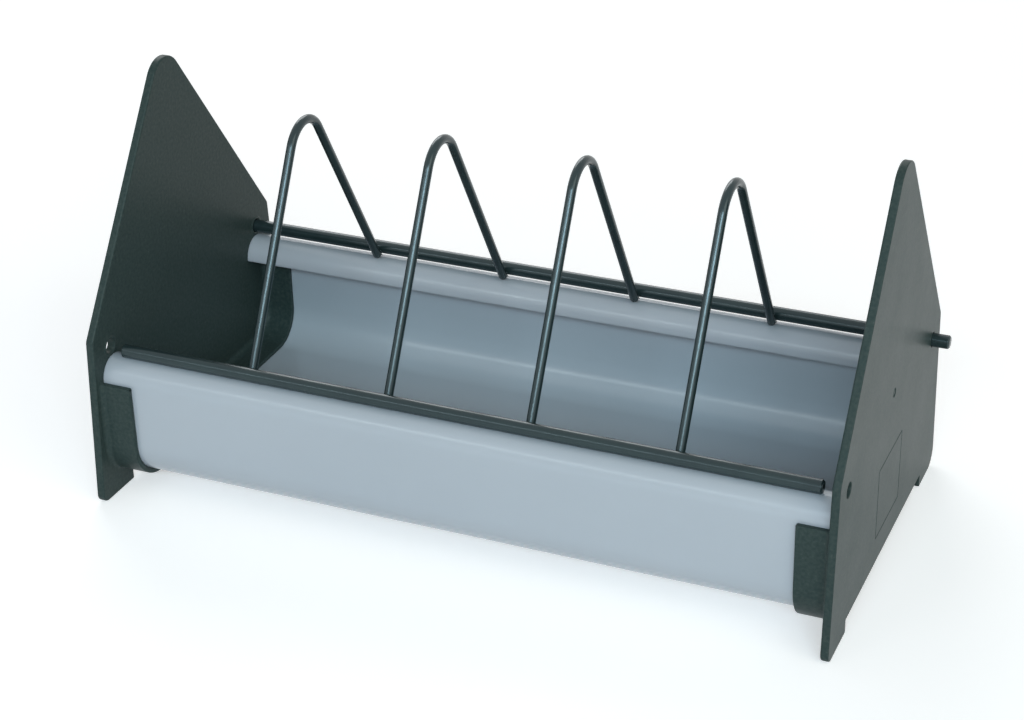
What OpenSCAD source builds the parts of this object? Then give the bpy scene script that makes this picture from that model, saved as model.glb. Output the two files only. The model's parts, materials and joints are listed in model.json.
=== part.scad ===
// Pigeon feeder: an extruded trough between two moulded end plates, under a hinged grille of welded wire.
// X runs along the trough, -Y is the front, and Z = 0 is the ground under the middle of the feeder.

/* [Trough] */
// Length of the extruded trough, which is the space between the end plates
trough_length = 323; // [300:1:360]
// Width over the outside of the trough walls
trough_width = 146; // [132:1:152]
// Height from the underside of the trough to the top of its lips
trough_rise = 56.5; // [48:0.5:64]
// Thickness of the extruded wall
trough_wall = 2; // [1.6:0.1:2.4]
// Outside radius of the two bottom corners
trough_corner_r = 18; // [14:1:22]
// Width over the outside of each rolled lip
lip_width = 18.5; // [17:0.5:21]

/* [End plates] */
// Thickness of the moulded plate
plate_t = 3.5; // [2.5:0.1:4.5]
// Width of the plate at its shoulders
shoulder_width = 155; // [150:1:162]
// Height of the shoulders above the ground
shoulder_height = 77; // [75.5:0.5:84]
// Radius that rounds each shoulder
shoulder_r = 3; // [1.5:0.5:6]
// Width of the plate over its feet
base_width = 166; // [162:1:174]
// Height of the rounded tip above the ground
tip_height = 178; // [168:1:190]
// Radius of the rounded tip
tip_r = 12; // [8:1:16]
// Length of each foot along the ground
foot_length = 24.5; // [18:0.5:34]
// Height of the plate's underside between the feet
foot_height = 5.9; // [4.5:0.1:9]
// Radius of the front foot's toe
front_toe_r = 4; // [2:0.5:6]
// Radius of the rear foot's heel
rear_heel_r = 8; // [4:0.5:11]
// Radius that breaks the other corners of the feet
foot_corner_r = 0.6; // [0.4:0.1:2]

/* [Sockets] */
// How far the flanges reach in from the plate, over and under the trough
flange_depth = 14; // [9:0.5:20]
// Thickness of the flange that wraps the outside of the trough
outer_flange_t = 2.4; // [1.6:0.1:2.8]
// How far the underside of that flange stays above the plate's underside
flange_rise = 0.5; // [0.3:0.1:2]
// Thickness of the flange that follows the inside of the trough
inner_flange_t = 2; // [1.4:0.1:2.6]
// Clearance between the trough and each flange
slip = 0.1; // [0.05:0.05:0.25]
// How far below the lip's centre line the inner flange stops
inner_flange_drop = 2; // [1:0.5:6]

/* [Grille] */
// Diameter of the two long rods
rod_d = 6; // [5:0.5:7]
// Diameter of the hoop wire
wire_d = 4; // [3:0.5:5]
// Distance between the axes of the two rods
rod_spacing = 129.6; // [128:0.1:131]
// Distance of the rod holes from the middle of the plate
hole_offset = 65; // [64:0.5:66]
// Height of the hinge axis above the tops of the lips
hinge_rise = 4.3; // [3.8:0.1:5]
// Radial clearance of a rod in its hole
hole_clearance = 0.3; // [0.2:0.05:0.5]
// How far the hinge rod stands out past each plate
hinge_overhang = 7.5; // [7:0.5:12]
// Space between the end of the front rod and the plate
front_rod_gap = 6.5; // [3:0.5:6.5]
// Chamfer on the rod ends
rod_chamfer = 0.6; // [0.3:0.1:1]
// Clearance of the front rod above the lip that it rests on
rest_clearance = 0.2; // [0.1:0.05:0.4]
// Distance from one hoop to the next
hoop_pitch = 63.5; // [52:0.5:70]
// Height of the hoops above the rod axes
hoop_height = 91; // [80:1:100]
// Inside radius of the bend at the top of each hoop
bend_r = 12; // [9:0.5:16]
// Gap between a hoop leg and the rod that its weld joins it to
weld_gap = 0.05; // [0.02:0.01:0.1]
// How far the centre of a leg's round end stays above the rod's nearest point
leg_stop = 1; // [0.5:0.1:1.5]

/* [Hidden] */
$fn = 48;
cut = 1;
hoop_count = 4;

rod_r = rod_d / 2;
wire_r = wire_d / 2;
lip_r = lip_width / 2;
trough_half = trough_width / 2;
trough_z = foot_height + flange_rise + outer_flange_t + slip;
lip_top = trough_z + trough_rise;
lip_z = lip_top - lip_r;
lip_y = trough_half - lip_r;
plate_x = trough_length / 2;

// The grille hangs on the hinge axis and leans forward until its front rod lies on the front lip.
hinge_z = lip_top + hinge_rise;
lip_reach = norm([hole_offset + lip_y, hinge_z - lip_z]);
rest_reach = lip_r + rod_r + rest_clearance;
lip_angle = atan2(hinge_z - lip_z, hole_offset + lip_y);
rest_angle = acos((lip_reach ^ 2 + rod_spacing ^ 2 - rest_reach ^ 2) / (2 * lip_reach * rod_spacing));
rest_tilt = lip_angle - rest_angle;

// Each hoop leg is a straight line that touches the rod on one side and the bend at the top on the other.
half_spacing = rod_spacing / 2;
bend_line_r = bend_r + wire_r;
bend_z = hoop_height - wire_r - bend_line_r;
leg_offset = rod_r + wire_r + weld_gap;
bend_distance = norm([half_spacing, bend_z]);
leg_angle = atan2(half_spacing, bend_z) - asin((bend_line_r + leg_offset) / bend_distance);
leg_foot_y = half_spacing - leg_offset * cos(leg_angle) - leg_stop * sin(leg_angle);
leg_foot_z = leg_stop * cos(leg_angle) - leg_offset * sin(leg_angle);
leg_length = sqrt(bend_distance ^ 2 - (bend_line_r + leg_offset) ^ 2) - leg_stop;
past_middle = 5;

front_rod_length = trough_length - 2 * front_rod_gap;
hinge_rod_length = trough_length + 2 * (plate_t + hinge_overhang);

function unit(v) = v / norm(v);

// Distance from a corner to where its rounding starts
function corner_cut(before, corner, after, r) =
    r / tan(acos(unit(before - corner) * unit(after - corner)) / 2);

// Angle between each slope and the vertical, which brings the rounded tip up to tip_height
tip_rise = tip_height - tip_r - shoulder_height;
slope_angle = atan2(shoulder_width / 2, tip_rise) - asin(tip_r / norm([shoulder_width / 2, tip_rise]));
// Height at which the two slopes would meet if the tip were sharp
peak_z = shoulder_height + shoulder_width / 2 / tan(slope_angle);

// The plate's corners, from the front toe round to the front shoulder, each with its radius
plate_corners = [
    [[-base_width / 2, 0], front_toe_r],
    [[-base_width / 2 + foot_length, 0], foot_corner_r],
    [[-base_width / 2 + foot_length, foot_height], 0],
    [[base_width / 2 - foot_length, foot_height], 0],
    [[base_width / 2 - foot_length, 0], foot_corner_r],
    [[base_width / 2, 0], rear_heel_r],
    [[shoulder_width / 2, shoulder_height], shoulder_r],
    [[0, peak_z], tip_r],
    [[-shoulder_width / 2, shoulder_height], shoulder_r]
];

// Outline through corners given as [point, radius], with a true arc at every corner that has a radius
module rounded_outline(corners) {
    n = len(corners);
    polygon([for (i = [0 : n - 1])
        let (before = corners[(i + n - 1) % n][0], corner = corners[i][0], after = corners[(i + 1) % n][0],
            r = corners[i][1], reach = r > 0 ? corner_cut(before, corner, after, r) : 0)
        each r > 0 ? [corner + reach * unit(before - corner), corner + reach * unit(after - corner)] : [corner]]);
    for (i = [0 : n - 1])
        if (corners[i][1] > 0) {
            corner = corners[i][0];
            to_before = unit(corners[(i + n - 1) % n][0] - corner);
            to_after = unit(corners[(i + 1) % n][0] - corner);
            half_angle = acos(to_before * to_after) / 2;
            translate(corner + corners[i][1] / sin(half_angle) * unit(to_before + to_after))
                circle(corners[i][1]);
        }
}

// Area inside the trough's U, moved out by grow and filled up to the height top
module u_area(grow, top) {
    half = trough_half + grow;
    floor_z = trough_z - grow;
    r = trough_corner_r + grow;
    translate([-half, floor_z + r])
        square([2 * half, top - floor_z - r]);
    translate([-half + r, floor_z])
        square([2 * (half - r), r + cut]);
    for (side = [-1, 1])
        translate([side * (half - r), floor_z + r])
            circle(r);
}

// Half ring of the rolled lip, its free edge rounded
module lip_profile() {
    difference() {
        circle(lip_r);
        circle(lip_r - trough_wall);
        translate([-lip_r - cut, -2 * lip_r])
            square([2 * (lip_r + cut), 2 * lip_r]);
    }
    translate([trough_wall / 2 - lip_r, 0])
        circle(trough_wall / 2);
}

// Turns a profile drawn in Y and Z into a solid along X
module along_x(length) {
    rotate([90, 0, 90])
        linear_extrude(length)
            children();
}

module trough() {
    color([0.63, 0.69, 0.73])
        translate([-plate_x, 0, 0])
            along_x(trough_length) {
                difference() {
                    u_area(0, lip_z);
                    u_area(-trough_wall, lip_z + cut);
                }
                translate([lip_y, lip_z])
                    lip_profile();
                translate([-lip_y, lip_z])
                    mirror([1, 0])
                        lip_profile();
            }
}

// One flange of the socket: a U between two distances from the outside of the trough
module flange_profile(outer, inner, top) {
    difference() {
        u_area(outer, top);
        u_area(inner, top + cut);
    }
}

// The right-hand end plate; the left one is its mirror image
module end_plate() {
    color([0.2, 0.24, 0.25])
        difference() {
            union() {
                translate([plate_x, 0, 0])
                    along_x(plate_t)
                        rounded_outline(plate_corners);
                translate([plate_x - flange_depth, 0, 0])
                    along_x(flange_depth) {
                        flange_profile(slip + outer_flange_t, slip, lip_z);
                        flange_profile(-trough_wall - slip, -trough_wall - slip - inner_flange_t,
                            lip_z - inner_flange_drop);
                    }
            }
            for (side = [-1, 1])
                translate([plate_x - cut, side * hole_offset, hinge_z])
                    rotate([0, 90, 0])
                        cylinder(h = plate_t + 2 * cut, r = rod_r + hole_clearance);
        }
}

module left_end() {
    mirror([1, 0, 0])
        end_plate();
}

module right_end() {
    end_plate();
}

// A rod along X, centred, with both ends chamfered
module rod(length) {
    translate([-length / 2, 0, 0])
        rotate([0, 90, 0])
            rotate_extrude()
                polygon([[0, 0], [rod_r - rod_chamfer, 0], [rod_r, rod_chamfer], [rod_r, length - rod_chamfer],
                    [rod_r - rod_chamfer, length], [0, length]]);
}

// Places what is drawn about the hinge axis, with the front rod's axis straight ahead at -rod_spacing
module on_hinge() {
    translate([0, hole_offset, hinge_z])
        rotate([rest_tilt, 0, 0])
            children();
}

module hinge_rod() {
    color([0.1, 0.12, 0.13])
        on_hinge()
            rod(hinge_rod_length);
}

module front_rod() {
    color([0.1, 0.12, 0.13])
        on_hinge()
            translate([0, -rod_spacing, 0])
                rod(front_rod_length);
}

// Half a hoop: a leg with its round foot, and the bend above it up to the middle of the hoop
module half_hoop() {
    intersection() {
        translate([0, leg_foot_y, leg_foot_z])
            rotate([leg_angle, 0, 0]) {
                sphere(wire_r);
                cylinder(h = leg_length, r = wire_r);
                translate([0, -bend_line_r, leg_length])
                    rotate([90, 0, 90])
                        rotate_extrude(angle = 90 - leg_angle + past_middle)
                            translate([bend_line_r, 0])
                                circle(wire_r);
            }
        translate([-wire_d, 0, -2 * wire_d])
            cube([2 * wire_d, half_spacing, hoop_height + 3 * wire_d]);
    }
}

// One hoop in its own plane, with the rods at y = half_spacing and -half_spacing
module hoop_wire() {
    half_hoop();
    mirror([0, 1, 0])
        half_hoop();
}

// The hoop with this number, counted from the left
module hoop(number) {
    color([0.1, 0.12, 0.13])
        on_hinge()
            translate([(number - (hoop_count + 1) / 2) * hoop_pitch, -half_spacing, 0])
                hoop_wire();
}

trough();
left_end();
right_end();
hinge_rod();
front_rod();
hoop(1);  // hoop_1
hoop(2);  // hoop_2
hoop(3);  // hoop_3
hoop(4);  // hoop_4
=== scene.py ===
import json
import math

import bmesh
import bpy
import numpy as np
from mathutils import Matrix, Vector
from mathutils.geometry import delaunay_2d_cdt


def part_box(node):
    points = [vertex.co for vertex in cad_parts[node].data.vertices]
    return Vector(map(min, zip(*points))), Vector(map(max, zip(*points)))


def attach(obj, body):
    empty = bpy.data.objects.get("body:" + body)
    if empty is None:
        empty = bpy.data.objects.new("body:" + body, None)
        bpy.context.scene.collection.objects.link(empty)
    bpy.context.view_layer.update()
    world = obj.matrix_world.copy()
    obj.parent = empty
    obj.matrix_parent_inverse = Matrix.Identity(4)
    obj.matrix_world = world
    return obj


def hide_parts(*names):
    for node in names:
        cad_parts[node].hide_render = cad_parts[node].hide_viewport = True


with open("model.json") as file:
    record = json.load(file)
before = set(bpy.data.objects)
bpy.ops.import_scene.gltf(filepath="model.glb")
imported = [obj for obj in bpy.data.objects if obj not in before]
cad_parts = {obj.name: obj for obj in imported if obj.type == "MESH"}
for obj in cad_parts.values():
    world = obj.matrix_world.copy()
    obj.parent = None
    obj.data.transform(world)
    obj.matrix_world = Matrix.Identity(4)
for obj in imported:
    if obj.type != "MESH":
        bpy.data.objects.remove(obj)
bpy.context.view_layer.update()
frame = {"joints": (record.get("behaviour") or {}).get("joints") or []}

# TROUGH
# One length of rigid plastic extrusion, sawn to length. Its section is a U with round bottom corners, whose
# walls roll over inwards at the top into two hollow lips. The sockets of the end plates hold its two ends.
trough_low, trough_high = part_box("trough")
trough_end = trough_high.x
trough_half = trough_high.y
trough_wall = 0.002
trough_corner_r = 0.018
lip_r = 0.00925
lip_z = trough_high.z - lip_r
lip_y = trough_half - lip_r
saw_break = 0.00015
wander_depth = 0.00005
socket_grip = 0.016
wander_fade = 0.03
station_inset = 0.001
station_count = 82


def bent_line(start, heading, moves, turn_step=math.radians(4.5), support=0.0003):
    """Line drawn the way stock is bent. A move is a straight run, given as its length, or a turn to the left,
    given as (radius, angle): its points are the centre, which lies one radius to the left, plus the radius
    turned by equal angles. Each run has a point close to both its ends, so that shading stays flat along it.
    Gives the points and the normals on the right-hand side of the line, both as (n, 2)."""
    points = [np.array([start], float)]
    normals = [np.array([[math.sin(heading), -math.cos(heading)]])]
    for move in moves:
        here = points[-1][-1]
        if isinstance(move, tuple):
            radius, angle = move
            turned = heading + np.linspace(0, angle, math.ceil(angle / turn_step) + 1)
            side = np.stack([np.sin(turned), -np.cos(turned)], 1)
            points.append((here + radius * (side - side[0]))[1:])
            normals.append(side[1:])
            heading += angle
        else:
            ahead = np.array([math.cos(heading), math.sin(heading)])
            steps = np.array([support, move - support, move])
            points.append(here + steps[:, None] * ahead)
            normals.append(np.repeat([[ahead[1], -ahead[0]]], 3, 0))
    return np.concatenate(points), np.concatenate(normals)


def strip_loop(points, normals, thickness, end_r, steps=5):
    """Closed outline of a strip of even thickness laid along a line. Both sides are the line plus or minus
    half the thickness times its normal, and each end is rounded by two quarter turns of radius end_r beyond
    the line's last point. Point k lies across the strip from point -1 - k. Gives points, outward normals, and
    on which side each point lies: 1 on the outer one, -1 on the inner one and between them round the ends."""
    ahead = np.stack([-normals[:, 1], normals[:, 0]], 1)
    turn = np.linspace(0, math.pi / 2, steps + 1)[:, None]

    def side(sign):
        across = sign * normals
        first = across[0] * np.sin(turn) - ahead[0] * np.cos(turn)
        last = across[-1] * np.cos(turn) + ahead[-1] * np.sin(turn)
        flat = thickness / 2 - end_r
        start = points[0] + across[0] * flat + end_r * first
        end = points[-1] + across[-1] * flat + end_r * last
        middle = points + across * thickness / 2
        return np.concatenate([start, middle[1:-1], end]), np.concatenate([first, across[1:-1], last])

    outer, outer_normals = side(1)
    inner, inner_normals = side(-1)
    level = np.concatenate([np.sin(turn[:, 0]), np.ones(len(points) - 2), np.cos(turn[:, 0])])
    return (np.concatenate([outer, inner[::-1]]), np.concatenate([outer_normals, inner_normals[::-1]]),
            np.concatenate([level, -level[::-1]]))


def quads(rows, columns, wrap):
    """Corner numbers of the faces of a grid whose vertices run row by row. With wrap, the last row joins the
    first one."""
    row = np.arange(rows if wrap else rows - 1)[:, None] * columns
    after = (row + columns) % (rows * columns)
    column = np.arange(columns - 1)[None, :]
    return np.stack([row + column, after + column, after + column + 1, row + column + 1], -1).reshape(-1, 4)


def carry(loop, normals, offset, x):
    """Surface of a closed outline in Y and Z carried along X: vertex (i, j) is point i moved out along its
    normal by offset j, at the place x j along X."""
    offset, x = np.broadcast_arrays(np.atleast_2d(offset), np.atleast_2d(x))
    flat = loop[:, None, :] + normals[:, None, :] * offset[..., None]
    grid = np.concatenate([np.broadcast_to(x[..., None], flat.shape[:2] + (1,)), flat], -1)
    return grid.reshape(-1, 3), quads(grid.shape[0], grid.shape[1], True)


def strip_cap(loop, x):
    """End face of a strip at x: quads between the pairs of points that lie across it from each other."""
    half = len(loop) // 2
    k = np.arange(half - 1)
    faces = np.stack([k, k + 1, 2 * half - 2 - k, 2 * half - 1 - k], -1)
    return np.column_stack([np.full(len(loop), x), loop]), faces


def make_piece(name, surfaces, material):
    """One mesh object of several surfaces, welded along their common edges and turned to face out."""
    vertices, faces, count = [], [], 0
    for points, corners in surfaces:
        vertices += points.tolist()
        faces += (np.asarray(corners) + count).tolist()
        count += len(points)
    mesh = bpy.data.meshes.new(name)
    mesh.from_pydata(vertices, [], faces)
    welded = bmesh.new()
    welded.from_mesh(mesh)
    bmesh.ops.remove_doubles(welded, verts=welded.verts, dist=1e-6)
    bmesh.ops.recalc_face_normals(welded, faces=welded.faces)
    welded.to_mesh(mesh)
    welded.free()
    mesh.shade_smooth()
    mesh.materials.append(material)
    piece = bpy.data.objects.new(name, mesh)
    bpy.context.scene.collection.objects.link(piece)
    return piece


def add_node(material, kind, **settings):
    """A node of that kind in the material, with the given properties and socket values."""
    node = material.node_tree.nodes.new(kind)
    for key, value in settings.items():
        if hasattr(node, key):
            setattr(node, key, value)
        else:
            node.inputs[key.title()].default_value = value
    return node


def new_material(name, specular):
    """A material with its Principled shader, and the object's own coordinates for its patterns."""
    material = bpy.data.materials.new(name)
    material.use_nodes = True
    shader = material.node_tree.nodes["Principled BSDF"]
    shader.inputs["Specular IOR Level"].default_value = specular
    return material, shader, add_node(material, "ShaderNodeTexCoord").outputs["Object"]


def pattern(material, coordinates, stretch, scale, detail):
    """Noise on the object's coordinates, stretched by the given factors along X, Y and Z."""
    links = material.node_tree.links
    mapping = add_node(material, "ShaderNodeMapping", scale=stretch)
    noise = add_node(material, "ShaderNodeTexNoise", scale=scale, detail=detail)
    links.new(coordinates, mapping.inputs["Vector"])
    links.new(mapping.outputs["Vector"], noise.inputs["Vector"])
    return noise.outputs["Fac"]


def ramp(material, factor, stops):
    """Colours or greys at given places along a factor."""
    node = add_node(material, "ShaderNodeValToRGB")
    elements = node.color_ramp.elements
    while len(elements) < len(stops):
        elements.new(0.5)
    for element, (place, colour) in zip(elements, stops):
        element.position = place
        element.color = (*colour, 1) if isinstance(colour, tuple) else (colour, colour, colour, 1)
    material.node_tree.links.new(factor, node.inputs["Fac"])
    return node.outputs["Color"]


def bump(material, height, strength, distance):
    """Bump from a factor, where the distance is the height in metres that a factor of 1 stands for."""
    node = add_node(material, "ShaderNodeBump", strength=strength, distance=distance)
    material.node_tree.links.new(height, node.inputs["Height"])
    return node.outputs["Normal"]


def extruded_plastic():
    """Light blue-grey plastic with the fine lengthwise lines of the die, a satin skin over an uneven gloss,
    and a slight haze."""
    material, shader, place = new_material("trough_plastic", 0.42)
    shader.inputs["Coat Weight"].default_value = 0.12
    shader.inputs["Coat Roughness"].default_value = 0.20
    links = material.node_tree.links
    haze = pattern(material, place, (0.6, 1, 1), 22, 4)
    links.new(ramp(material, haze, [(0.3, (0.414, 0.464, 0.511)), (0.7, (0.430, 0.480, 0.527))]),
              shader.inputs["Base Color"])
    gloss = pattern(material, place, (0.35, 1, 1), 40, 2)
    links.new(ramp(material, gloss, [(0.3, 0.21), (0.7, 0.25)]), shader.inputs["Roughness"])
    lines = pattern(material, place, (0.012, 1, 1), 600, 1)
    links.new(bump(material, lines, 0.10, 0.00003), shader.inputs["Normal"])
    return material


trough_line, trough_sides = bent_line(
    (-lip_y + lip_r - trough_wall / 2, lip_z), math.pi / 2, [
        (lip_r - trough_wall / 2, math.pi),
        lip_z - trough_low.z - trough_corner_r,
        (trough_corner_r - trough_wall / 2, math.pi / 2),
        2 * (trough_half - trough_corner_r),
        (trough_corner_r - trough_wall / 2, math.pi / 2),
        lip_z - trough_low.z - trough_corner_r,
        (lip_r - trough_wall / 2, math.pi)])
section, section_normals, _ = strip_loop(trough_line, trough_sides, trough_wall, trough_wall / 2)

# Away from its sockets the wall wanders by under a tenth of a millimetre, as extruded plastic does when it
# cools: two waves along X, times one and a half waves round the section, with both faces moving alike.
stations = np.concatenate([
    [-trough_end, -trough_end + saw_break / 3, -trough_end + saw_break],
    np.linspace(-trough_end + station_inset, trough_end - station_inset, station_count),
    [trough_end - saw_break, trough_end - saw_break / 3, trough_end]])
sawn = -saw_break * np.clip(1 - (trough_end - np.abs(stations)) / saw_break, 0, 1) ** 2
free = np.clip((trough_end - socket_grip - np.abs(stations)) / wander_fade, 0, 1)
wander = wander_depth * free * (np.sin(stations * 61 + 0.4) + 0.6 * np.sin(stations * 103 + 2))
half_way = np.arange(len(section) // 2)[:, None] / len(section)
lean = np.sin(6 * math.pi * half_way)
lean = np.concatenate([lean, -lean[::-1]])
trough = make_piece("trough_extrusion", [
    carry(section, section_normals, sawn + wander * lean, stations),
    strip_cap(section - section_normals * saw_break, -trough_end),
    strip_cap(section - section_normals * saw_break, trough_end)], extruded_plastic())
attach(trough, "feeder")
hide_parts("trough")

# END PLATES
# Two mirror-image mouldings of dark plastic with a fine matt grain. Each is a gabled plate on two feet, with
# two rod holes, and carries a socket on its inner face: one flange wraps the outside of the trough, and a
# second one follows its inside. Every edge is broken, and the flanges meet the plate in small fillets.
plate_low, plate_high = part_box("right_end")
plate_out = plate_high.x
plate_in = trough_end
flange_end = plate_low.x
base_half = 0.083
tip_z = plate_high.z
shoulder_half = 0.0775
shoulder_z = 0.077
shoulder_r = 0.003
tip_r = 0.012
foot_length = 0.0245
foot_z = 0.0059
toe_r = 0.004
heel_r = 0.008
foot_corner_r = 0.0006
under_corner_r = 0.0003
hinge_y, hinge_z = frame["joints"][0]["pos_m"][1:]
hole_r = 0.0033
flange_gap = 0.0001
outer_flange_t = 0.0024
inner_flange_t = 0.002
inner_flange_drop = 0.002
inner_flange_top = lip_z - inner_flange_drop
inner_break = 0.0008
outer_break = 0.0004
under_break = 0.0002
flange_break = 0.0004
flange_tip_break = 0.001
outer_root_r = 0.0024
inner_root_r = 0.0028
slot_root_r = 0.00005
collar_height = 0.0003
collar_width = 0.0011
margin = 0.0001


def rounded_outline(corners, turn_step=math.radians(6)):
    """Closed outline through corners given as (y, z, radius), anticlockwise. A corner is rounded by an arc
    whose centre lies where both sides moved by the radius cross, and whose points are that centre plus or
    minus the radius times a normal that turns evenly from one side's to the next one's. Each side also has
    a point close to both its ends. Gives points and outward normals."""
    points, normals = [], []
    spots = np.array([c[:2] for c in corners], float)
    for (corner, before, after, radius) in zip(
            spots, np.roll(spots, 1, 0), np.roll(spots, -1, 0), [c[2] for c in corners]):
        into = (corner - before) / np.linalg.norm(corner - before)
        out = (after - corner) / np.linalg.norm(after - corner)
        bend = math.atan2(into[0] * out[1] - into[1] * out[0], into @ out)
        reach = radius * math.tan(abs(bend) / 2)
        start = math.atan2(-into[0], into[1])
        turned = start + np.linspace(0, bend, max(2, math.ceil(abs(bend) / turn_step) + 1))
        normal = np.stack([np.cos(turned), np.sin(turned)], 1)
        centre = corner - into * reach - math.copysign(radius, bend) * normal[0]
        points += [[corner - into * (reach + margin)], centre + math.copysign(radius, bend) * normal,
                   [corner + out * (reach + margin)]]
        normals += [[normal[0]], normal, [normal[-1]]]
    return np.concatenate(points), np.concatenate(normals)


def circle(y, z, radius, steps=48):
    """Edge of a hole, clockwise, with normals towards its middle."""
    turn = -np.linspace(0, 2 * math.pi, steps, endpoint=False)
    normal = -np.stack([np.cos(turn), np.sin(turn)], 1)
    return np.array([y, z]) - radius * normal, normal


def flat_face(loops, x):
    """Flat face at x between closed outlines, cut into triangles between their points. It covers what lies
    inside an odd number of outlines: a line from a triangle's middle along Y crosses them an odd number of
    times."""
    starts = np.float32(np.concatenate(loops) * 1000).astype(float)
    numbers = np.split(np.arange(len(starts)), np.cumsum([len(loop) for loop in loops])[:-1])
    edges = np.concatenate([np.stack([k, np.roll(k, -1)], 1) for k in numbers])
    _, _, faces, origins, _, _ = delaunay_2d_cdt(starts.tolist(), edges.tolist(), [], 0, 1e-7)
    faces = np.array([origin[0] for origin in origins])[np.array(faces)]
    middle = starts[faces].mean(1)[:, None]
    way, off = (starts[edges[:, 1]] - starts), middle - starts
    passes = (starts[:, 1] > middle[..., 1]) != (starts[edges[:, 1], 1] > middle[..., 1])
    beyond = (way[:, 0] * off[..., 1] > way[:, 1] * off[..., 0]) == (way[:, 1] > 0)
    faces = faces[(passes & beyond).sum(1) % 2 == 1]
    return np.column_stack([np.full(len(starts), x), starts / 1000]), faces


def broken_corner(radius, face_x, into, steps=5):
    """Profiles of a corner broken by a radius, which may differ from point to point: the offset is minus the
    radius times one less the sine of a quarter turn, and the depth below the face the radius times one less
    the cosine. Gives (offset, x) as an array over points and profile."""
    radius = np.atleast_1d(radius)[:, None]
    turn = np.linspace(0, math.pi / 2, steps + 1)[None, :]
    offset = np.concatenate([-radius - margin, -radius * (1 - np.sin(turn)), 0 * radius], 1)
    depth = np.concatenate([0 * radius, radius * (1 - np.cos(turn)), radius + margin], 1)
    return np.stack([offset, face_x + into * depth], -1)


def through_edge(loop, normals, *corners):
    """Edge surface of the plate along an outline or a hole, from one face to the other, through profiles
    given as (offset, x). Gives the surface and the outlines at which both flat faces start."""
    profile = np.concatenate([np.broadcast_to(c, (len(loop),) + c.shape[1:]) for c in corners], 1)
    offset, x = profile[..., 0], profile[..., 1]
    return carry(loop, normals, offset, x), loop + normals * offset[:, :1], loop + normals * offset[:, -1:]


def socket_flange(top, middle, thickness, root_r, root_side):
    """One flange of the socket: a U-shaped strip that grows out of the plate's inner face. Its offset at the
    root is one radius less the radius times the sine of a quarter turn, with a full fillet on one side only,
    which the outer flange loses under the feeder. Its free edge is rounded alike, more at the strip's two
    tips than along its sides. Gives the surfaces and the outline at which the plate's face starts."""
    half = trough_half + middle
    corner = trough_corner_r + middle
    run = top - flange_break - trough_low.z - trough_corner_r
    line, sides = bent_line((-half, top - flange_break), -math.pi / 2, [
        run, (corner, math.pi / 2), 2 * (half - corner), (corner, math.pi / 2), run])
    loop, normals, side = strip_loop(line, sides, thickness, flange_break)
    count = len(loop)
    under = np.clip(-normals[:, 1:], 0, 1) ** 2 * (root_side > 0)
    root = slot_root_r + (root_r - slot_root_r) * (0.5 + 0.5 * root_side * side[:, None]) * (1 - under)
    upward = np.clip(normals[:, 1:], 0, 1) * (loop[:, 1:] > top - 2 * flange_break)
    free_r = flange_break + (flange_tip_break - flange_break) * upward
    turn = np.linspace(0, math.pi / 2, 6)[None, :]
    offset = np.concatenate([
        root + margin, root * (1 - np.sin(turn)), np.zeros((count, 2)), -free_r * (1 - np.cos(turn))], 1)
    x = np.concatenate([
        np.full((count, 1), plate_in), plate_in - root * (1 - np.cos(turn)), plate_in - root - margin,
        flange_end + free_r + margin, flange_end + free_r * (1 - np.sin(turn))], 1)
    surfaces = [carry(loop, normals, offset, x), strip_cap(loop - normals * free_r, flange_end)]
    return surfaces, loop + normals * (root + margin)


def mirrored(surfaces):
    """The same surfaces on the other side of the feeder's middle."""
    return [(points * [-1, 1, 1], corners) for points, corners in surfaces]


def moulded_plastic():
    """Dark grey-green plastic, mottled, with a fine spark-eroded grain, an uneven gloss and a few specks."""
    material, shader, place = new_material("end_plastic", 0.10)
    links = material.node_tree.links
    mottle = pattern(material, place, (1, 1, 1), 700, 2)
    links.new(ramp(material, mottle, [(0.3, (0.026, 0.045, 0.043)), (0.7, (0.042, 0.062, 0.058)),
                                      (0.79, (0.06, 0.08, 0.078))]), shader.inputs["Base Color"])
    sheen = pattern(material, place, (1, 1, 1), 45, 5)
    links.new(ramp(material, sheen, [(0.3, 0.36), (0.7, 0.40)]), shader.inputs["Roughness"])
    grain = pattern(material, place, (1, 1, 1), 2600, 2)
    links.new(bump(material, grain, 0.35, 0.00005), shader.inputs["Normal"])
    return material


slope = math.atan2(shoulder_half, tip_z - tip_r - shoulder_z) - math.asin(
    tip_r / math.hypot(shoulder_half, tip_z - tip_r - shoulder_z))
peak_z = shoulder_z + shoulder_half / math.tan(slope)
outline, outline_normals = rounded_outline([
    (-base_half, 0, toe_r), (-base_half + foot_length, 0, foot_corner_r),
    (-base_half + foot_length, foot_z, under_corner_r), (base_half - foot_length, foot_z, under_corner_r),
    (base_half - foot_length, 0, foot_corner_r), (base_half, 0, heel_r),
    (shoulder_half, shoulder_z, shoulder_r), (0, peak_z, tip_r), (-shoulder_half, shoulder_z, shoulder_r)])

between_feet = ((np.abs(outline[:, 0]) < base_half - foot_length + 2 * foot_corner_r)
                & (outline[:, 1] < 2 * foot_z))
rim, inner_edge, outer_edge = through_edge(
    outline, outline_normals, broken_corner(np.where(between_feet, under_break, inner_break), plate_in, 1),
    broken_corner(outer_break, plate_out, -1)[:, ::-1])
collar_offset = -collar_width + np.array([-0.0003, -0.0002, -0.0001, 0, 0.00015])
collar_x = plate_in - collar_height * np.array([0, 0, 0.4, 0.8, 1])
collar = np.stack([collar_offset, collar_x], -1)[None]
hole_corners = [collar, broken_corner(outer_break, plate_in - collar_height, 1),
                broken_corner(outer_break, plate_out, -1)[:, ::-1]]
front_hole, inner_front, outer_front = through_edge(*circle(-hinge_y, hinge_z, hole_r), *hole_corners)
rear_hole, inner_rear, outer_rear = through_edge(*circle(hinge_y, hinge_z, hole_r), *hole_corners)
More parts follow.
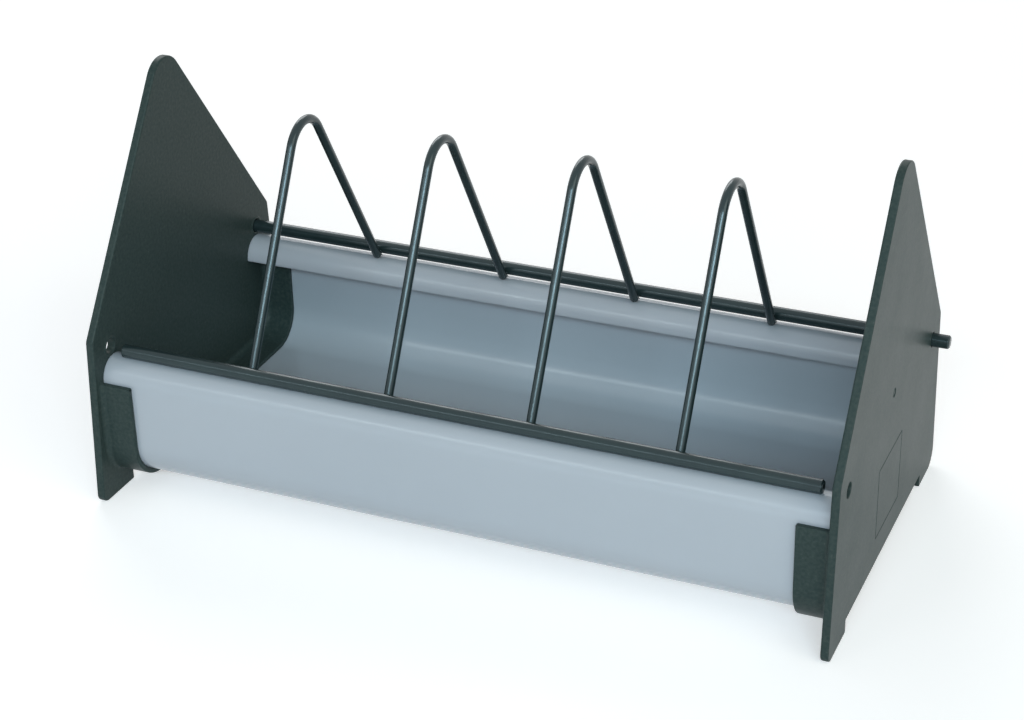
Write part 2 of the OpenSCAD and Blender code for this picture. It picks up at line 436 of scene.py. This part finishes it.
outer_flange, outer_root = socket_flange(
    lip_z, flange_gap + outer_flange_t / 2, outer_flange_t, outer_root_r, 1)
inner_flange, inner_root = socket_flange(
    inner_flange_top, -trough_wall - flange_gap - inner_flange_t / 2, inner_flange_t, inner_root_r, -1)
inner_face = flat_face([inner_edge, inner_front, inner_rear, outer_root, inner_root], plate_in)
end_surfaces = [rim, front_hole, rear_hole, *outer_flange, *inner_flange, inner_face]

# The outer face carries the mark of the gate through which the plastic flowed in, and the right one also has
# a plain rectangular field, outlined by a shallow groove.
gate_z = 0.078
gate_r = 0.0021
gate_depth = 0.0005
groove_depth = 0.0004
groove_width = 0.0006
field_corners = [(-0.0175, 0.0185, 0.0008), (0.0185, 0.0185, 0.0008), (0.0185, 0.051, 0.0008),
                 (-0.0175, 0.051, 0.0008)]

gate_loop, gate_normals = circle(0, gate_z, gate_r, 32)
gate_offset = np.array([-0.0002, -0.0001, 0, 0.0003, 0.0008, 0.0010, 0.0012, gate_r])
gate_x = plate_out - gate_depth * np.array([0, 0, 0.15, 1, 1, 0.4, 0.3, 0.3])
gate_mark = carry(gate_loop, gate_normals, gate_offset, gate_x)
gate_edge = gate_loop + gate_normals * gate_offset[0]
field_loop, field_normals = rounded_outline(field_corners)
field_offset = np.array([0.3, 0.15, 0, -0.3, -0.7, -1, -1.15, -1.3]) * groove_width
field_x = plate_out - groove_depth * np.array([0, 0, 0.1, 1, 1, 0.1, 0, 0])
groove = carry(field_loop, field_normals, field_offset, field_x)
groove_edge = field_loop + field_normals * field_offset[0]
field = flat_face([field_loop + field_normals * field_offset[-1]], plate_out)
plain_outer = flat_face([outer_edge, outer_front, outer_rear, gate_edge], plate_out)
field_outer = flat_face([outer_edge, outer_front, outer_rear, gate_edge, groove_edge], plate_out)

end_finish = moulded_plastic()
right_plate = make_piece(
    "right_end_moulding", [*end_surfaces, gate_mark, field_outer, groove, field], end_finish)
left_plate = make_piece(
    "left_end_moulding", mirrored([*end_surfaces, gate_mark, plain_outer]), end_finish)
for plate, node in ((right_plate, "right_end"), (left_plate, "left_end")):
    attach(plate, "feeder")
    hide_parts(node)

# RODS
# Two lengths of coated steel wire, sheared to length with the edges of their ends knocked off. The hinge rod
# turns in the rear holes and stands out past both plates. The shorter front rod lies on the front lip.
rod_chamfer = 0.0006
rod_end_break = 0.0001


def turned(profile, axis_y, axis_z, steps=40):
    """Surface turned about a line along X: vertex (i, j) is profile point j, an (x, radius) pair, turned by
    angle i about the axis."""
    turn = np.linspace(0, 2 * math.pi, steps, endpoint=False)[:, None]
    x, radius = np.array(profile, float).T[:, None, :]
    grid = np.stack([np.broadcast_to(x, (steps, x.shape[1])), axis_y + radius * np.cos(turn),
                     axis_z + radius * np.sin(turn)], -1)
    return grid.reshape(-1, 3), quads(steps, grid.shape[1], True)


def coated_wire():
    """Near-black satin coating, with a slight orange-peel surface and a gloss that varies along the wire."""
    material, shader, place = new_material("coated_wire", 0.45)
    shader.inputs["Specular Tint"].default_value = (0.80, 0.94, 1.0, 1)
    links = material.node_tree.links
    tint = pattern(material, place, (1, 1, 1), 70, 3)
    links.new(ramp(material, tint, [(0.3, (0.014, 0.026, 0.028)), (0.7, (0.018, 0.033, 0.034))]),
              shader.inputs["Base Color"])
    gloss = pattern(material, place, (1, 1, 1), 160, 4)
    links.new(ramp(material, gloss, [(0.3, 0.17), (0.7, 0.23)]), shader.inputs["Roughness"])
    peel = pattern(material, place, (1, 1, 1), 700, 2)
    links.new(bump(material, peel, 0.05, 0.00005), shader.inputs["Normal"])
    return material


wire_finish = coated_wire()
for node in ("hinge_rod", "front_rod"):
    rod_low, rod_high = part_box(node)
    rod_r = (rod_high.z - rod_low.z) / 2
    end_x = rod_high.x
    end = [(end_x, 0), (end_x, rod_r - rod_chamfer - rod_end_break),
           (end_x - rod_end_break / 2, rod_r - rod_chamfer),
           (end_x - rod_chamfer + rod_end_break, rod_r - rod_end_break),
           (end_x - rod_chamfer, rod_r), (end_x - rod_chamfer - margin, rod_r)]
    profile = [(-x, r) for x, r in end] + end[::-1]
    rod = make_piece(node + "_wire", [
        turned(profile, (rod_low.y + rod_high.y) / 2, (rod_low.z + rod_high.z) / 2)], wire_finish)
    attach(rod, "grille")
    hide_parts(node)

# HOOPS
# Four hoops of thinner coated wire, each bent once to an upside-down V with a round top. Both legs are welded
# to the trough side of the two rods, where they end in round tips.
front_low, front_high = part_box("front_rod")
front_y, front_z = (front_low.y + front_high.y) / 2, (front_low.z + front_high.z) / 2
rod_spacing = math.hypot(hinge_y - front_y, hinge_z - front_z)
tilt = math.atan2(hinge_z - front_z, hinge_y - front_y)
hoop_low, hoop_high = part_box("hoop_1")
wire_r = (hoop_high.x - hoop_low.x) / 2
hoop_height = 0.091
bend_r = 0.012
weld_gap = 0.00005
leg_stop = 0.001

bend_line_r = bend_r + wire_r
bend_height = hoop_height - wire_r - bend_line_r
leg_offset = rod_r + wire_r + weld_gap
bend_distance = math.hypot(rod_spacing / 2, bend_height)
leg_angle = math.atan2(rod_spacing / 2, bend_height) - math.asin((bend_line_r + leg_offset) / bend_distance)
leg_length = math.sqrt(bend_distance ** 2 - (bend_line_r + leg_offset) ** 2)


def on_grille(points):
    """Points given in the grille's own plane, with Y from the front rod to the hinge rod and Z above both,
    put where the grille rests: they turn by the tilt and move with the front rod."""
    turn = np.array([[math.cos(tilt), -math.sin(tilt)], [math.sin(tilt), math.cos(tilt)]])
    return points @ turn.T + [front_y, front_z]


def swept_wire(line, normals, x, radius, steps=20, end_steps=6):
    """Round wire along a line in Y and Z: vertex (i, j) is point j plus the radius times the cosine of angle
    i along the line's normal, and the radius times its sine along X. Both ends close in half balls, where
    the radius shrinks as the cosine and the point moves on by the radius times the sine."""
    cap = np.linspace(0, math.pi / 2, end_steps + 1)
    ahead = np.stack([-normals[:, 1], normals[:, 0]], 1)
    centres = np.concatenate([
        line[0] - radius * np.sin(cap[::-1, None]) * ahead[0], line[1:-1],
        line[-1] + radius * np.sin(cap[:, None]) * ahead[-1]])
    sides = np.concatenate([
        np.repeat(normals[:1], len(cap), 0), normals[1:-1], np.repeat(normals[-1:], len(cap), 0)])
    radii = radius * np.concatenate([np.cos(cap[::-1]), np.ones(len(line) - 2), np.cos(cap)])[None, :]
    turn = np.linspace(0, 2 * math.pi, steps, endpoint=False)[:, None]
    flat = centres[None] + (radii * np.cos(turn))[..., None] * sides[None]
    grid = np.concatenate([(x + radii * np.sin(turn))[..., None], flat], -1)
    return grid.reshape(-1, 3), quads(steps, grid.shape[1], True)


leg_foot = np.array([
    rod_spacing - leg_offset * math.cos(leg_angle) - leg_stop * math.sin(leg_angle),
    leg_stop * math.cos(leg_angle) - leg_offset * math.sin(leg_angle)])
leg_run = leg_length - leg_stop
hoop_line, hoop_normals = bent_line(
    leg_foot, math.pi / 2 + leg_angle, [leg_run, (bend_line_r, math.pi - 2 * leg_angle), leg_run])
hoop_line = on_grille(hoop_line)
hoop_normals = on_grille(hoop_normals) - on_grille(np.zeros(2))


def weld_bead(rod_yz, toward, x, reach=0.0021, waist=0.0013, sink=0.0002, core=0.0008, steps=24):
    """Small fillet of metal round the spot where a leg touches a rod. Turning about the line between both
    wires, a ring at the reach lies on the rod and one on the leg, sunk a little into them, where each has
    dropped by the square of its distance across the wire over twice its radius. Between them it narrows as
    the sine of half a turn, down to the waist. Both ends close in the core of the wires."""
    turn = np.linspace(0, 2 * math.pi, steps, endpoint=False)[:, None]
    level = np.linspace(0, 1, 9)[None, :]
    along_x, along_leg = np.cos(turn), np.sin(turn)
    rod_drop = -(reach * along_leg) ** 2 / (2 * rod_r) - sink
    leg_rise = (reach * along_x) ** 2 / (2 * wire_r) + sink
    spread = reach - (reach - waist) * np.sin(math.pi * level)
    height = rod_drop + (leg_rise - rod_drop) * level
    spread = np.concatenate([np.zeros((1, 1)), spread, np.zeros((1, 1))], 1)
    height = np.concatenate([np.full((steps, 1), -core), height, np.full((steps, 1), core)], 1)
    leg_way = np.array([-toward[1], toward[0]])
    contact = rod_yz + toward * (rod_r + weld_gap / 2)
    flat = contact + height[..., None] * toward + (spread * along_leg)[..., None] * leg_way
    grid = np.concatenate([(x + spread * along_x)[..., None], flat], -1)
    return grid.reshape(-1, 3), quads(steps, grid.shape[1], True)


rear_way = on_grille(np.array([-math.cos(leg_angle), -math.sin(leg_angle)])) - on_grille(np.zeros(2))
front_way = on_grille(np.array([math.cos(leg_angle), -math.sin(leg_angle)])) - on_grille(np.zeros(2))
for number in range(1, 5):
    node = f"hoop_{number}"
    hoop_low, hoop_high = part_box(node)
    x = (hoop_low.x + hoop_high.x) / 2
    hoop = make_piece(node + "_wire", [swept_wire(hoop_line, hoop_normals, x, wire_r)], wire_finish)
    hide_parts(node)
    welds = make_piece(node + "_welds", [
        weld_bead(np.array([hinge_y, hinge_z]), rear_way, x),
        weld_bead(np.array([front_y, front_z]), front_way, x)], wire_finish)
    for piece in (hoop, welds):
        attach(piece, "grille")

# STAGE
# A plain pale floor that fades into a white surround far from the lamps. What the camera sees past the
# object, or sees mirrored in it, is white, and the floor keeps the object's soft shadow.
floor_reach = 6.0
floor_z = -0.00005
fade_start, fade_end = 0.7, 2.5
floor_glow = 0.43
corners = np.array([[-1, -1], [1, -1], [1, 1], [-1, 1]]) * floor_reach
floor_mesh = bpy.data.meshes.new("floor")
floor_mesh.from_pydata([(x, y, floor_z) for x, y in corners], [], [(0, 1, 2, 3)])
floor = bpy.data.objects.new("floor", floor_mesh)
bpy.context.scene.collection.objects.link(floor)


def white_to_sight(material, unseen, seen):
    """Node that gives a strength: one value for light that falls on the object, and another one for what the
    camera sees, either straight or mirrored or through glass."""
    links = material.node_tree.links
    path = add_node(material, "ShaderNodeLightPath")
    strength = add_node(material, "ShaderNodeMapRange")
    strength.inputs["To Min"].default_value = unseen
    strength.inputs["To Max"].default_value = seen
    ray = path.outputs["Is Camera Ray"]
    for other in ("Is Glossy Ray", "Is Transmission Ray"):
        either = add_node(material, "ShaderNodeMath", operation="MAXIMUM")
        links.new(ray, either.inputs[0])
        links.new(path.outputs[other], either.inputs[1])
        ray = either.outputs["Value"]
    links.new(ray, strength.inputs["Value"])
    return strength


paper, paper_shader, paper_place = new_material("floor_paper", 0.1)
paper_shader.inputs["Roughness"].default_value = 0.9
paper_shader.inputs["Base Color"].default_value = (0.86, 0.86, 0.86, 1)
paper_shader.inputs["Emission Color"].default_value = (1, 1, 1, 1)
links = paper.node_tree.links
paper_white = white_to_sight(paper, 0, 1)
links.new(paper_white.outputs["Result"], paper_shader.inputs["Emission Strength"])
away = add_node(paper, "ShaderNodeVectorMath", operation="LENGTH")
fade = add_node(paper, "ShaderNodeMapRange")
for key, value in (("From Min", fade_start), ("From Max", fade_end), ("To Min", floor_glow), ("To Max", 1)):
    fade.inputs[key].default_value = value
links.new(paper_place, away.inputs[0])
links.new(away.outputs["Value"], fade.inputs["Value"])
links.new(fade.outputs["Result"], paper_white.inputs["To Max"])
floor_mesh.materials.append(paper)

surround = bpy.data.worlds.new("surround")
surround.use_nodes = True
bpy.context.scene.world = surround
sky = surround.node_tree.nodes["Background"]
sky.inputs["Color"].default_value = (1, 1, 1, 1)
surround.node_tree.links.new(white_to_sight(surround, 0.2, 1).outputs["Result"], sky.inputs["Strength"])


def soft_light(name, azimuth, elevation, distance, size, power, colour, target=(0, 0, 0.08)):
    """Rectangular area lamp of a size in metres and a power in watts. It faces a target from an azimuth,
    counted in degrees from the front towards the right, an elevation in degrees and a distance."""
    lamp = bpy.data.lights.new(name, "AREA")
    lamp.shape = "RECTANGLE"
    lamp.size, lamp.size_y = size
    lamp.energy = power
    lamp.color = colour
    holder = bpy.data.objects.new(name, lamp)
    holder.matrix_world = (Matrix.Translation(target) @ Matrix.Rotation(math.radians(azimuth), 4, "Z")
                           @ Matrix.Rotation(math.radians(90 - elevation), 4, "X")
                           @ Matrix.Translation((0, 0, distance)))
    bpy.context.scene.collection.objects.link(holder)


soft_light("front_light", 20, 30, 2.2, (1.6, 0.28), 26.4, (0.69, 0.90, 1.0))
soft_light("left_light", -25, 30, 2.2, (0.9, 0.14), 2.8, (0.85, 0.96, 1.0))
soft_light("low_light", 20, 10, 2.2, (1.6, 0.3), 5, (1.0, 0.62, 0.55))
soft_light("right_light", 65, 35, 2.0, (1.2, 1.2), 8.4, (1.0, 0.97, 0.84))
soft_light("rear_light", 215, 35, 2.2, (1.5, 1.0), 16, (1.0, 1.0, 1.0))

# CAMERA
# The photograph was taken from the front and right, a little less than one metre away, looking down.
camera_place = (0.3455, -0.7889, 0.5283)
azimuth, elevation, roll = math.radians(23.76), math.radians(28.48), math.radians(-1.41)
sensor = 36.0
lens_pixels, picture_width = 2283.8, 1024
eye = bpy.data.cameras.new("camera")
eye.sensor_width = sensor
eye.lens = lens_pixels / picture_width * sensor
eye.clip_start, eye.clip_end = 0.05, 50
camera = bpy.data.objects.new("camera", eye)
camera.matrix_world = (Matrix.Translation(camera_place) @ Matrix.Rotation(azimuth, 4, "Z")
                       @ Matrix.Rotation(math.pi / 2 - elevation, 4, "X") @ Matrix.Rotation(roll, 4, "Z"))
bpy.context.scene.collection.objects.link(camera)
bpy.context.scene.camera = camera
bpy.context.scene.view_settings.view_transform = "Standard"
